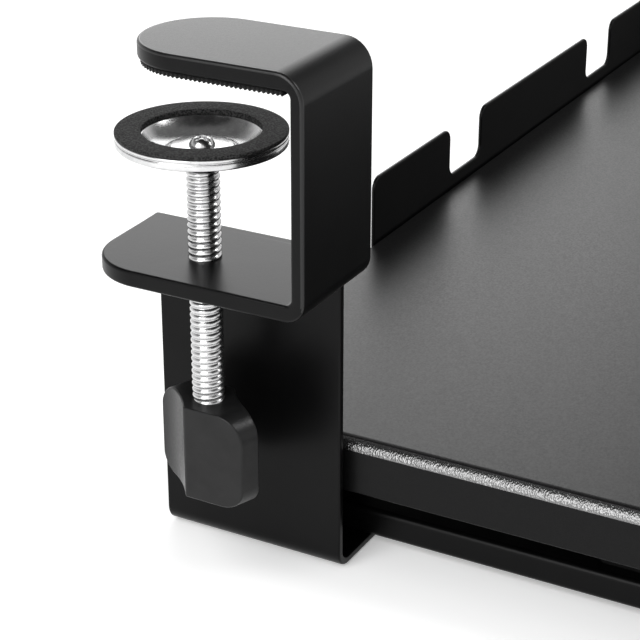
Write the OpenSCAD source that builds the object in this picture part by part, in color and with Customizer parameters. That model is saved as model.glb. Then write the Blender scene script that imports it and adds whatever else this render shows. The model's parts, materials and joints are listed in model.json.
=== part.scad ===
// Clamp-on keyboard tray: a board that slides on roller rails between two
// drop brackets, each hung from a screw clamp on the edge of a desk.
//
// Frame: +X to the user's right, +Y away from the user, +Z up. The origin is
// midway between the clamps, where the edge of the desk meets its top: on the
// inner faces of the spines and level with the undersides of the upper pads.

/* [Clamp frame] */
// Width of the bent clamp strip
strip_w = 40; // [34:1:56]
// Thickness of the clamp strip
strip_t = 4; // [3:0.5:6]
// Clear height between the two jaws
throat_h = 61.5; // [54:0.5:80]
// Distance from the spine's inner face to the screw axis
throat_reach = 39.5; // [34:0.5:60]
// How far the round nose of the upper jaw runs past the screw axis
upper_nose = 16.5; // [10:0.5:30]
// How far the lower jaw runs past the screw axis
lower_nose = 29.5; // [22:0.5:45]
// Outer radius of the upper bend
upper_bend_r = 8.5; // [6:0.5:12]
// Outer radius of the lower bend
lower_bend_r = 6.5; // [6:0.5:10]
// Inner radius of both bends
inner_bend_r = 2; // [1:0.5:3]
// Radius of the lower jaw's free outboard corner
jaw_corner_r = 15; // [5:0.5:18]

/* [Upper pad] */
// Thickness of the ribbed rubber pad
pad_t = 2.5; // [2:0.25:5]
// Depth of the grooves between its ribs
groove_depth = 1.1; // [0.5:0.1:1.5]
// Distance from one rib to the next
rib_pitch = 1.9; // [1.5:0.1:3]
// Width of a rib's flat crest
rib_crest = 0.8; // [0.4:0.1:1.2]
// Inset of the pad from the edges of the jaw
pad_inset = 0.8; // [0.4:0.1:3]

/* [Clamp screw] */
// Outer diameter of the screw
screw_d = 9.8; // [8:0.1:12]
// Diameter of the journal that turns in the swivel cup
journal_d = 8; // [6:0.1:8.5]
// Height of the weld nut under the lower jaw
nut_h = 5; // [3:0.5:8]
// Width of the weld nut across its flats
nut_af = 17; // [15:0.5:20]
// Radial clearance of every running fit
run_gap = 0.05; // [0.02:0.01:0.1]
// Axial clearance of every running fit
thrust_gap = 0.15; // [0.1:0.05:0.3]

/* [Swivel cup] */
// Height of the foam ring's face above the lower jaw, as clamped
press_z = 38; // [30:0.5:48]
// Diameter of the cup's rim
cup_d = 49; // [44:0.5:60]
// Height of the cup from its hub's underside to its rim
cup_h = 10; // [8:0.5:14]
// Wall of the cup
cup_t = 1.4; // [1:0.1:2]
// Depth of the rolled edge of the rim
cup_lip = 2.6; // [2:0.1:4]
// Diameter of the dish's floor
cup_floor_d = 21; // [19:0.5:24]
// Thickness of the foam ring
foam_t = 2; // [1:0.25:4]
// Hole through the foam ring
foam_hole_d = 34; // [28:0.5:38]
// Diameter of the retaining washer
washer_d = 18; // [14:0.5:19]
// Thickness of the retaining washer
washer_t = 1; // [0.8:0.1:1.5]
// Height of the retaining screw's head
head_h = 2.4; // [1.5:0.1:3]
// Diameter of the retaining screw's head
head_d = 7.4; // [6:0.1:9]
// Shank diameter of the retaining screw
shank_d = 4; // [3:0.1:5]

/* [Wing knob] */
// Distance from the top of the lower jaw down to the knob
knob_drop = 45.5; // [40:0.5:70]
// Height of the knob
knob_h = 29.5; // [26:0.5:45]
// Clearance between the turning wing tips and the bracket
knob_clear = 0.6; // [0.4:0.1:3]
// Width across the two creases
knob_w = 19.6; // [17:0.2:22]
// Thickness of each wing at its end
wing_t = 6.4; // [5:0.2:8]
// How far each wing's end is set off towards its hollow side
wing_set = 0.4; // [0:0.1:1.5]
// Distance of each crease past the screw axis, away from its wing
crease_y = 0.4; // [0:0.1:2]
// Depth of the finger hollow on each wing
hollow_depth = 1.6; // [0.5:0.1:2]
// Flat left at each end of a finger hollow
hollow_land = 0.6; // [0.3:0.1:1.5]
// Radius of the knob's upper corners seen from the side
knob_top_r = 8.5; // [4:0.5:11]
// Radius of its lower corners
knob_foot_r = 7; // [4:0.5:11]
// Turn of the knob from the line of the strip, as it stands at rest
knob_turn = -21; // [-90:1:90]
// Plastic left in the knob under the end of the screw
knob_floor = 6; // [3:0.5:12]

/* [Drop bracket] */
// Height from the bracket's underside to the top of the lower jaw
drop_h = 107; // [95:0.5:150]
// Length of the bracket along the slide
bracket_len = 63; // [58:1:80]
// Sheet thickness of the bracket
plate_t = 2.5; // [2:0.5:4]
// Outer radius of the bracket's bend
plate_bend_r = 6; // [4:0.5:7]
// Radius of the flange's free corners
flange_corner_r = 5; // [2:0.5:8]

/* [Board] */
// Width of the board, between the brackets
board_w = 596; // [520:2:800]
// Depth of the board, from the user to the fence
board_d = 300; // [260:10:350]
// Thickness of the board
board_t = 18; // [15:1:22]
// Radius of the board's upper edges
board_edge_r = 4.5; // [2:0.5:8]
// Radius of the board's corners seen from above
board_corner_r = 8; // [4:1:20]
// Clearance between the board and each bracket
board_gap = 3.5; // [2:0.5:8]
// How far the board runs behind the brackets when it is pulled out
board_over = 2.5; // [1:0.5:6]

/* [Slide] */
// Width of the roller rail
rail_w = 35; // [33:1:45]
// Height of the roller rail
rail_h = 9.6; // [8.6:0.1:12]
// Sheet thickness of the rail
rail_t = 1.2; // [1:0.1:1.5]
// Width of the slot between the rail's lips
rail_slot = 17; // [16:0.5:18]
// Distance from the side of the board to the rail
rail_inset = 13.5; // [6:0.5:20]
// How far each end of the rail stays back from the edge of the board
rail_back = 4; // [2:0.5:10]
// Height of the spacers between rail and board
spacer_h = 13.1; // [8:0.1:16]
// Clearance between parts that slide past each other
slide_gap = 0.3; // [0.2:0.05:0.5]
// Length of the carriage block
carriage_len = 48; // [40:1:50]
// Width of the carriage block
carriage_w = 14; // [12:0.5:15]
// Distance between the two roller axles
axle_spacing = 34; // [26:1:36]
// Axle diameter
axle_d = 2.5; // [2:0.1:3]
// Roller width
roller_w = 6; // [4:0.5:6.5]
// Length of the plug that stops the carriage at each end of the rail
stop_len = 8; // [5:0.5:12]
// Thickness of the end cap outside the rail
cap_t = 2; // [1.5:0.5:4]

/* [Fence] */
// Height of the fence above the board
fence_h = 26; // [18:0.5:40]
// Sheet thickness of the fence
fence_t = 1.5; // [1:0.1:2]
// Length of the end tabs
fence_end_tab = 68; // [50:1:90]
// Length of the middle tab
fence_mid_tab = 122; // [90:1:160]
// Width of each cable notch
notch_w = 27; // [20:1:40]
// Height of the notch floor above the board
notch_floor = 5.5; // [4:0.5:10]
// Radius of the upper corners of the tabs
tab_corner_r = 5; // [2:0.5:8]
// Radius in the corners of the notches
notch_corner_r = 2.5; // [1:0.5:4]
// Depth of the fence's foot under the board
fence_foot = 18; // [14:1:30]

/* [Fasteners] */
// Diameter of the board screws
wood_screw_d = 4; // [3:0.1:5]
// How far the board screws bite into the board
wood_screw_bite = 12; // [8:0.5:13]
// Diameter of the carriage screws
machine_screw_d = 4; // [3:0.1:4.5]
// Clearance of a screw in its hole
screw_gap = 0.05; // [0.02:0.01:0.1]

/* [Hidden] */
$fn = 64;

left = -1;
right = 1;
// Overlap that lets a cut pass right through a face
eps = 1;
// Overlap of a cut that only opens a face
skim = 0.01;

// Levels, from the desk top down
jaw_z = pad_t - throat_h;
foam_z = jaw_z + press_z;
rim_z = foam_z - foam_t;
hub_z = rim_z - cup_h;
knob_top_z = jaw_z - knob_drop;
knob_socket = knob_h - knob_floor;
bracket_z = jaw_z - drop_h;
flange_z = bracket_z + plate_t;
rail_z = flange_z + slide_gap;
board_z = rail_z + rail_h + spacer_h;
board_top_z = board_z + board_t;

// Stations along the slide
screw_y = throat_reach;
bracket_rear_y = screw_y + lower_nose;
bracket_front_y = bracket_rear_y - bracket_len;
board_rear_y = bracket_rear_y + board_over;
board_front_y = board_rear_y - board_d;
rail_rear_y = board_rear_y - rail_back - cap_t;
rail_len = board_d - 2 * rail_back - 2 * cap_t;
rail_front_y = rail_rear_y - rail_len;
stop_gap = 0.5;
carriage_rear_y = rail_rear_y - stop_len - stop_gap;
carriage_mid_y = carriage_rear_y - carriage_len / 2;
axle_ys = [carriage_mid_y - axle_spacing / 2, carriage_mid_y + axle_spacing / 2];

// Stations across the left side, measured inboard from the screw axis
screw_x = board_w / 2 + board_gap + plate_t + strip_w / 2;
plate_x = strip_w / 2;
board_x = plate_x + plate_t + board_gap;
rail_x = board_x + rail_inset;
rail_mid_x = rail_x + rail_w / 2;
flange_past = 1;
flange_len = rail_x + rail_w + flange_past - plate_x;

// Inside of the rail, and the rollers that run in it
rail_in_h = rail_h - 2 * rail_t;
rail_in_w = rail_w - 2 * rail_t;
axle_z = rail_z + rail_h / 2;
roller_d = rail_in_h - 2 * slide_gap;
roller_x = carriage_w / 2 + slide_gap;
axle_head_t = 0.8;
axle_head_rim = 0.8;
axle_head_d = axle_d + 2 * axle_head_rim;
axle_len = 2 * (roller_x + roller_w + thrust_gap + axle_head_t);
axle_cover = 1.6;
carriage_h = axle_z + axle_d / 2 + axle_cover - flange_z;
carriage_corner_r = 2;
screw_head_t = 2.2;
screw_head_d = 8;
// Flat edge of a countersunk head, and the room left under a screw's tip
head_edge = 0.3;
tip_room = 0.5;
carriage_roof = 1.5;
carriage_screw_depth = carriage_h - carriage_roof;
carriage_screw_pitch = 16;
carriage_screw_ys = [carriage_mid_y - carriage_screw_pitch / 2, carriage_mid_y + carriage_screw_pitch / 2];
rail_screw_margin = 35;
rail_screw_ys = [rail_front_y + rail_screw_margin, rail_front_y + rail_len / 2,
                 rail_rear_y - rail_screw_margin];
spacer_size = [24, 20];
spacer_corner_r = 3;
rail_bend_r = 2;

// Fence outline
fence_len = 2 * fence_end_tab + 2 * notch_w + fence_mid_tab;
notch_xs = [-(fence_mid_tab + notch_w) / 2, (fence_mid_tab + notch_w) / 2];
fence_screw_margin = 31;
fence_screw_reach = fence_len / 2 - fence_screw_margin;
fence_screw_xs = [-fence_screw_reach, -fence_screw_reach / 3, fence_screw_reach / 3, fence_screw_reach];
fence_inner_r = 1;
fence_screw_head_d = 8;
fence_screw_head_h = 2;

// Swivel cup
hub_rise = 0.8;
rim_taper = 0.6;
rim_chamfer = 0.4;
boss_margin = 2;
boss_set = 3.4;
boss_d = cup_floor_d - 2 * boss_margin;
boss_z = rim_z - boss_set;
washer_z = boss_z + thrust_gap;
cup_screw_len = 8;
tapped_depth = cup_screw_len + washer_t;

// Wing knob: its tips turn just clear of the bracket
knob_tip_r = strip_w / 2 - knob_clear;
knob_end_y = sqrt(pow(knob_tip_r, 2) - pow(wing_set + wing_t / 2, 2));

// Upper pad
pad_bend_gap = 0.5;
pad_start_y = inner_bend_r + pad_bend_gap;
nose_r = strip_w / 2;
nose_mid_y = screw_y + upper_nose - nose_r;
rib_count = floor((screw_y + upper_nose - pad_start_y) / rib_pitch);

// Finishes
powder_black = [0.09, 0.09, 0.10];
foil_black = [0.12, 0.12, 0.13];
plastic_black = [0.10, 0.10, 0.11];
rubber_black = [0.06, 0.06, 0.06];
plated_steel = [0.80, 0.81, 0.82];
nylon_white = [0.88, 0.87, 0.84];

// Places a part of one side clamp; x runs inboard from the screw axis
module on_side(side) {
    if (side == left) translate([-screw_x, 0, 0]) children();
    else mirror([1, 0, 0]) translate([-screw_x, 0, 0]) children();
}

// Extrudes a (Y, Z) profile along X, centred on x = 0
module along_x(length) {
    rotate([90, 0, 90]) linear_extrude(length, center = true) children();
}

// Extrudes an (X, Z) profile along Y, from y = 0
module along_y(length) {
    translate([0, length, 0]) rotate([90, 0, 0]) linear_extrude(length) children();
}

// What a rounded corner of radius r takes off a corner at the origin
module corner_cut(r) {
    difference() {
        translate([-eps, -eps]) square(r + eps);
        translate([r, r]) circle(r);
    }
}

// Rectangle with its lower left corner at the origin and four round corners
module round_rect(size, r) {
    difference() {
        square(size);
        for (i = [0, 1], j = [0, 1])
            translate([i * size[0], j * size[1]]) mirror([i, 0]) mirror([0, j]) corner_cut(r);
    }
}

// Countersunk screw pointing up, its head's face at z = 0
module countersunk(d, head_d, head_t, length) {
    rotate_extrude() polygon([
        [0, 0], [head_d / 2, 0], [head_d / 2, head_edge], [d / 2, head_t], [d / 2, length], [0, length]
    ]);
}

// Side view of the bent strip: y = 0 on the spine's inner face
module clamp_profile() {
    outer_len = strip_t + throat_reach + max(upper_nose, lower_nose);
    outer_h = throat_h + 2 * strip_t;
    difference() {
        translate([-strip_t, -strip_t]) difference() {
            square([outer_len, outer_h]);
            corner_cut(lower_bend_r);
            translate([0, outer_h]) mirror([0, 1]) corner_cut(upper_bend_r);
        }
        difference() {
            square([outer_len, throat_h]);
            corner_cut(inner_bend_r);
            translate([0, throat_h]) mirror([0, 1]) corner_cut(inner_bend_r);
        }
    }
}

// Plan of the upper jaw, drawn in by inset: full round nose
module upper_jaw_plan(inset, from_y) {
    translate([-nose_r + inset, from_y]) square([strip_w - 2 * inset, nose_mid_y - from_y]);
    translate([0, nose_mid_y]) circle(nose_r - inset);
}

// Plan of the lower jaw: square end, rounded at its outboard corner
module lower_jaw_plan() {
    back_y = -strip_t - eps;
    end_y = screw_y + lower_nose;
    difference() {
        translate([-strip_w / 2, back_y]) square([strip_w, end_y - back_y]);
        translate([-strip_w / 2, end_y]) mirror([0, 1]) corner_cut(jaw_corner_r);
    }
}

// The clamp: one strip bent twice, bored for the screw
module clamp_frame(side) {
    half_h = throat_h / 2 + strip_t + eps;
    color(powder_black) on_side(side) difference() {
        intersection() {
            translate([0, 0, jaw_z]) along_x(strip_w) clamp_profile();
            union() {
                translate([0, 0, jaw_z + throat_h / 2 - eps / 2])
                    linear_extrude(half_h + eps) upper_jaw_plan(0, -strip_t - eps);
                translate([0, 0, jaw_z + throat_h / 2 - half_h])
                    linear_extrude(half_h) lower_jaw_plan();
            }
        }
        translate([0, screw_y, jaw_z - strip_t - eps])
            cylinder(d = screw_d + 2 * run_gap, h = strip_t + 2 * eps);
    }
}

// Ribbed pad under the upper jaw, its ribs across the strip
module upper_pad(side) {
    groove_w = rib_pitch - rib_crest;
    color(rubber_black) on_side(side) difference() {
        linear_extrude(pad_t) upper_jaw_plan(pad_inset, pad_start_y);
        for (i = [0 : rib_count - 1])
            translate([0, pad_start_y + rib_crest + i * rib_pitch, 0]) along_x(strip_w + 2 * eps)
                polygon([[0, -skim], [groove_w, -skim], [groove_w / 2, groove_depth]]);
    }
}

// Hexagonal nut under the lower jaw that carries the thread
module weld_nut(side) {
    color(powder_black) on_side(side) translate([0, screw_y, jaw_z - strip_t - nut_h]) difference() {
        rotate(30) cylinder(d = nut_af / cos(30), h = nut_h, $fn = 6);
        translate([0, 0, -eps]) cylinder(d = screw_d + 2 * run_gap, h = nut_h + 2 * eps);
    }
}

// Clamping screw with a turned journal at its top and a tapped end
module clamp_screw(side) {
    foot_z = knob_top_z - knob_socket;
    shoulder_z = hub_z - thrust_gap;
    color(plated_steel) on_side(side) translate([0, screw_y, 0]) difference() {
        union() {
            translate([0, 0, foot_z]) cylinder(d = screw_d, h = shoulder_z - foot_z);
            translate([0, 0, shoulder_z - eps]) cylinder(d = journal_d, h = washer_z - shoulder_z + eps);
        }
        translate([0, 0, washer_z - tapped_depth])
            cylinder(d = shank_d + 2 * screw_gap, h = tapped_depth + eps);
    }
}

// Dished pad that swivels on the screw: rolled rim, cone and central boss
module swivel_cup(side) {
    r = cup_d / 2;
    floor_r = cup_floor_d / 2;
    seat_r = foam_hole_d / 2;
    bore_r = journal_d / 2 + run_gap;
    floor_z = hub_z + cup_t + hub_rise;
    color(plated_steel) on_side(side) translate([0, screw_y, 0]) rotate_extrude() polygon([
        [bore_r, hub_z], [floor_r, hub_z + hub_rise], [seat_r + cup_t, rim_z - cup_t - rim_taper],
        [r - cup_t, rim_z - cup_t], [r - cup_t, rim_z - cup_lip], [r, rim_z - cup_lip],
        [r, rim_z - rim_chamfer], [r - rim_chamfer, rim_z], [seat_r, rim_z], [floor_r, floor_z],
        [boss_d / 2, floor_z], [boss_d / 2, boss_z], [bore_r, boss_z]
    ]);
}

// Foam ring glued on the rim of the cup
module foam_ring(side) {
    color(rubber_black) on_side(side) translate([0, screw_y, rim_z]) difference() {
        cylinder(d = cup_d, h = foam_t);
        translate([0, 0, -eps]) cylinder(d = foam_hole_d, h = foam_t + 2 * eps);
    }
}

// Washer on the screw's end that keeps the cup on its journal
module cup_washer(side) {
    color(plated_steel) on_side(side) translate([0, screw_y, washer_z]) difference() {
        cylinder(d = washer_d, h = washer_t);
        translate([0, 0, -eps]) cylinder(d = shank_d + 2 * screw_gap, h = washer_t + 2 * eps);
    }
}

// Pan-head screw that holds the washer, with a cross recess
module cup_screw(side) {
    top_z = washer_z + washer_t;
    dome_r = (pow(head_d / 2, 2) + pow(head_h, 2)) / (2 * head_h);
    slot = 1.1;
    recess_len = 5;
    color(plated_steel) on_side(side) translate([0, screw_y, top_z]) {
        difference() {
            intersection() {
                translate([0, 0, head_h - dome_r]) sphere(dome_r);
                cylinder(d = head_d, h = head_h);
            }
            for (turn = [0, 90]) rotate(turn)
                translate([-recess_len / 2, -slot / 2, head_h / 2]) cube([recess_len, slot, head_h]);
        }
        translate([0, 0, -cup_screw_len]) cylinder(d = shank_d, h = cup_screw_len + head_h / 4);
    }
}

// Plan of the knob: two tapered wings, each hollowed on its leading side
module knob_plan() {
    crease = [-knob_w / 2, -crease_y];
    tip = [-wing_set - wing_t / 2, knob_end_y];
    flank = (tip - crease) / norm(tip - crease);
    chord = norm(tip - crease) - 2 * hollow_land;
    hollow_r = (pow(chord / 2, 2) + pow(hollow_depth, 2)) / (2 * hollow_depth);
    outward = [-flank[1], flank[0]];
    difference() {
        polygon([
            crease, tip, tip + [wing_t, 0],
            -crease, -tip, -tip - [wing_t, 0]
        ]);
        for (turn = [0, 180]) rotate(turn)
            translate((crease + tip) / 2 + outward * (hollow_r - hollow_depth)) circle(hollow_r);
    }
}

// Side view of the knob, hanging from z = 0
module knob_side_view() {
    difference() {
        translate([-knob_end_y, -knob_h]) square([2 * knob_end_y, knob_h]);
        for (hand = [0, 1]) mirror([hand, 0]) {
            translate([-knob_end_y, -knob_h]) corner_cut(knob_foot_r);
            translate([-knob_end_y, 0]) mirror([0, 1]) corner_cut(knob_top_r);
        }
    }
}

// Moulded wing knob on the lower end of the screw, the same on both sides
module wing_knob(side) {
    color(plastic_black) on_side(side) translate([0, screw_y, knob_top_z]) difference() {
        mirror([side == right ? 1 : 0, 0, 0]) rotate(knob_turn) intersection() {
            translate([0, 0, -knob_h]) linear_extrude(knob_h) knob_plan();
            along_x(knob_w + 2 * eps) knob_side_view();
        }
        translate([0, 0, -knob_socket]) cylinder(d = screw_d + 2 * screw_gap, h = knob_socket + eps);
    }
}

// Section of the drop bracket: plate down from the jaw, flange inboard
module bracket_section() {
    difference() {
        square([flange_len, drop_h]);
        corner_cut(plate_bend_r);
        translate([plate_t, plate_t]) difference() {
            square([flange_len, drop_h]);
            corner_cut(plate_bend_r - plate_t);
        }
    }
}

// Drop bracket on the inboard edge of the lower jaw, flush with its top
module drop_bracket(side) {
    color(powder_black) on_side(side) difference() {
        translate([plate_x, bracket_front_y, bracket_z]) along_y(bracket_len) bracket_section();
        translate([plate_x + flange_len, 0, 0]) flange_corner_cuts();
        for (y = carriage_screw_ys) translate([rail_mid_x, y, bracket_z])
            countersunk(machine_screw_d + 2 * screw_gap, screw_head_d + 2 * screw_gap, screw_head_t, plate_t + eps);
    }
}

// Rounds the two inboard corners of the flange
module flange_corner_cuts() {
    for (rear = [0, 1])
        translate([0, rear ? bracket_rear_y : bracket_front_y, bracket_z - eps])
            linear_extrude(plate_t + 2 * eps)
                mirror([1, 0]) mirror([0, rear]) corner_cut(flange_corner_r);
}

// Block on the bracket's flange that carries the roller axles
module carriage(side) {
    color(plated_steel) on_side(side) difference() {
        translate([rail_mid_x - carriage_w / 2, carriage_mid_y - carriage_len / 2, flange_z])
            linear_extrude(carriage_h) round_rect([carriage_w, carriage_len], carriage_corner_r);
        for (y = axle_ys) translate([rail_mid_x, y, axle_z]) rotate([0, 90, 0])
            cylinder(d = axle_d + 2 * run_gap, h = carriage_w + 2 * eps, center = true);
        for (y = carriage_screw_ys) translate([rail_mid_x, y, flange_z - eps])
            cylinder(d = machine_screw_d + 2 * screw_gap, h = carriage_screw_depth + eps);
    }
}

// Countersunk screws from under the flange into the carriage
module carriage_screws(side) {
    color(plated_steel) on_side(side) for (y = carriage_screw_ys)
        translate([rail_mid_x, y, bracket_z])
            countersunk(machine_screw_d, screw_head_d, screw_head_t, plate_t + carriage_screw_depth - tip_room);
}

// Axle with a peened head at each end
module axle(side, y) {
    color(plated_steel) on_side(side) translate([rail_mid_x, y, axle_z]) rotate([0, 90, 0]) {
        cylinder(d = axle_d, h = axle_len, center = true);
        for (end = [-1, 1])
            translate([0, 0, end * (axle_len - axle_head_t) / 2])
                cylinder(d = axle_head_d, h = axle_head_t, center = true);
    }
}

// Pair of nylon rollers, one on each side of the carriage
module rollers(side, y) {
    chamfer = 0.4;
    r = roller_d / 2;
    color(nylon_white) on_side(side) for (hand = [-1, 1])
        translate([rail_mid_x + hand * roller_x, y, axle_z]) rotate([0, hand * 90, 0]) rotate_extrude()
            polygon([
                [axle_d / 2 + screw_gap, 0], [r - chamfer, 0], [r, chamfer],
                [r, roller_w - chamfer], [r - chamfer, roller_w], [axle_d / 2 + screw_gap, roller_w]
            ]);
}

// Section of the rail: a channel with lips turned in under the rollers
module rail_section() {
    difference() {
        round_rect([rail_w, rail_h], rail_bend_r);
        translate([rail_t, rail_t]) round_rect([rail_in_w, rail_in_h], rail_bend_r - rail_t);
        translate([(rail_w - rail_slot) / 2, -eps]) square([rail_slot, rail_t + 2 * eps]);
    }
}

// Roller rail under the board
module rail(side) {
    color(powder_black) on_side(side) difference() {
        translate([rail_x, rail_front_y, rail_z]) along_y(rail_len) rail_section();
        for (y = rail_screw_ys) translate([rail_mid_x, y, rail_z + rail_h - rail_t])
            countersunk(wood_screw_d + 2 * screw_gap, screw_head_d + 2 * screw_gap, screw_head_t, rail_t + eps);
    }
}

// Moulded plugs with caps that close the rail and stop the carriage
module rail_stops(side) {
    plug_gap = 0.1;
    color(plastic_black) on_side(side) for (rear = [0, 1]) {
        end_y = rear ? rail_rear_y : rail_front_y;
        translate([rail_x, end_y, rail_z]) mirror([0, 1 - rear, 0]) {
            along_y(cap_t) round_rect([rail_w, rail_h], rail_bend_r);
            translate([rail_t + plug_gap, -stop_len, rail_t + plug_gap]) along_y(stop_len + eps / 2)
                round_rect([rail_in_w - 2 * plug_gap, rail_in_h - 2 * plug_gap], rail_bend_r - rail_t);
        }
    }
}

// Spacer blocks between rail and board
module rail_spacers(side) {
    color(plastic_black) on_side(side) for (y = rail_screw_ys)
        translate([rail_mid_x, y, rail_z + rail_h]) difference() {
            translate([-spacer_size[0] / 2, -spacer_size[1] / 2, 0])
                linear_extrude(spacer_h) round_rect(spacer_size, spacer_corner_r);
            translate([0, 0, -rail_t])
                countersunk(wood_screw_d + 2 * screw_gap, screw_head_d + 2 * screw_gap, screw_head_t,
                            spacer_h + rail_t + eps);
        }
}

// Countersunk screws through rail and spacer into the board
module rail_screws(side) {
    color(plated_steel) on_side(side) for (y = rail_screw_ys)
        translate([rail_mid_x, y, rail_z + rail_h - rail_t])
            countersunk(wood_screw_d, screw_head_d, screw_head_t, rail_t + spacer_h + wood_screw_bite - tip_room);
}

// Takes the sharp edge off one straight run of the board's top
module edge_cut(length) {
    along_x(length) translate([0, board_top_z]) mirror([0, 1]) corner_cut(board_edge_r);
}

// The board: a slab with rounded upper edges and blind holes for its screws
module tray_board() {
    r = board_corner_r;
    color(foil_black) difference() {
        translate([-board_w / 2, board_front_y, board_z])
            linear_extrude(board_t) round_rect([board_w, board_d], r);
        for (rear = [0, 1])
            translate([0, rear ? board_rear_y : board_front_y, 0]) mirror([0, rear, 0])
                edge_cut(board_w - 2 * r);
        for (hand = [0, 1])
            mirror([hand, 0, 0]) translate([board_w / 2, board_front_y + board_d / 2, 0]) rotate(90)
                edge_cut(board_d - 2 * r);
        for (hand = [0, 1], rear = [0, 1])
            mirror([hand, 0, 0])
                translate([board_w / 2 - r, rear ? board_rear_y - r : board_front_y + r, board_top_z])
                    mirror([0, 1 - rear, 0]) rotate_extrude(angle = 90)
                        translate([r, 0]) mirror([1, 0]) mirror([0, 1]) corner_cut(board_edge_r);
        for (side = [left, right]) on_side(side) for (y = rail_screw_ys)
            translate([rail_mid_x, y, board_z - eps])
                cylinder(d = wood_screw_d + 2 * screw_gap, h = wood_screw_bite + eps);
        for (x = fence_screw_xs) translate([x, board_rear_y - fence_foot / 2, board_z - eps])
            cylinder(d = wood_screw_d + 2 * screw_gap, h = wood_screw_bite + eps);
    }
}

// Front view of the fence's upright, from the board's underside up
module fence_outline() {
    foot = board_t + fence_t;
    full_h = foot + fence_h;
    difference() {
        translate([-fence_len / 2, 0]) square([fence_len, full_h]);
        for (hand = [0, 1]) mirror([hand, 0])
            translate([-fence_len / 2, full_h]) mirror([0, 1]) corner_cut(tab_corner_r);
        for (x = notch_xs) translate([x, foot + notch_floor]) cable_notch(fence_h - notch_floor);
    }
}

// One notch of the fence: round at its floor, flared at its mouth
module cable_notch(depth) {
    translate([-notch_w / 2, 0]) intersection() {
        round_rect([notch_w, depth + 2 * notch_corner_r], notch_corner_r);
        square([notch_w, depth + eps]);
    }
    for (hand = [0, 1]) mirror([hand, 0])
        translate([notch_w / 2, depth]) mirror([0, 1]) corner_cut(tab_corner_r);
}

// Sheet fence behind the board, folded under it
module rear_fence() {
    bend_r = fence_t + fence_inner_r;
    color(powder_black) difference() {
        union() {
            translate([0, board_rear_y, board_z - fence_t]) along_y(fence_t) fence_outline();
            translate([-fence_len / 2, board_rear_y - fence_foot, board_z - fence_t])
                cube([fence_len, fence_foot + fence_t, fence_t]);
        }
        translate([0, board_rear_y + fence_t, board_z - fence_t]) along_x(fence_len + 2 * eps)
            mirror([1, 0]) corner_cut(bend_r);
        for (x = fence_screw_xs) translate([x, board_rear_y - fence_foot / 2, board_z - fence_t - eps])
            cylinder(d = wood_screw_d + 2 * screw_gap, h = fence_t + 2 * eps);
    }
}

// Pan-head screws through the fence's foot into the board
module fence_screws() {
    color(plated_steel) for (x = fence_screw_xs)
        translate([x, board_rear_y - fence_foot / 2, board_z - fence_t - fence_screw_head_h]) {
            cylinder(d = fence_screw_head_d, h = fence_screw_head_h);
            cylinder(d = wood_screw_d, h = fence_screw_head_h + fence_t + wood_screw_bite - tip_room);
        }
}

clamp_frame(left);  // left_clamp_frame
clamp_frame(right);  // right_clamp_frame
upper_pad(left);  // left_upper_pad
upper_pad(right);  // right_upper_pad
weld_nut(left);  // left_weld_nut
weld_nut(right);  // right_weld_nut
clamp_screw(left);  // left_clamp_screw
clamp_screw(right);  // right_clamp_screw
swivel_cup(left);  // left_swivel_cup
swivel_cup(right);  // right_swivel_cup
foam_ring(left);  // left_foam_ring
foam_ring(right);  // right_foam_ring
cup_washer(left);  // left_cup_washer
cup_washer(right);  // right_cup_washer
cup_screw(left);  // left_cup_screw
cup_screw(right);  // right_cup_screw
wing_knob(left);  // left_wing_knob
wing_knob(right);  // right_wing_knob
drop_bracket(left);  // left_drop_bracket
drop_bracket(right);  // right_drop_bracket
carriage(left);  // left_carriage
carriage(right);  // right_carriage
carriage_screws(left);  // left_carriage_screws
carriage_screws(right);  // right_carriage_screws
axle(left, axle_ys[0]);  // left_front_axle
axle(right, axle_ys[0]);  // right_front_axle
axle(left, axle_ys[1]);  // left_rear_axle
axle(right, axle_ys[1]);  // right_rear_axle
rollers(left, axle_ys[0]);  // left_front_rollers
rollers(right, axle_ys[0]);  // right_front_rollers
rollers(left, axle_ys[1]);  // left_rear_rollers
rollers(right, axle_ys[1]);  // right_rear_rollers
rail(left);  // left_rail
rail(right);  // right_rail
rail_stops(left);  // left_rail_stops
rail_stops(right);  // right_rail_stops
rail_spacers(left);  // left_rail_spacers
rail_spacers(right);  // right_rail_spacers
rail_screws(left);  // left_rail_screws
rail_screws(right);  // right_rail_screws
tray_board();
rear_fence();
fence_screws();
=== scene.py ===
"""Clamp-on keyboard tray: its visible pieces and finishes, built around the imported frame.

Sizes are in millimetres, in the frame's own axes: +X to the user's right, +Y away from the user, +Z up.
"""

from __future__ import annotations

import json
import logging
import math
from collections.abc import Callable, Iterable, Sequence
from dataclasses import dataclass, field
from enum import Enum
from functools import cache

import bmesh
import bpy
from mathutils import Matrix, Vector

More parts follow.
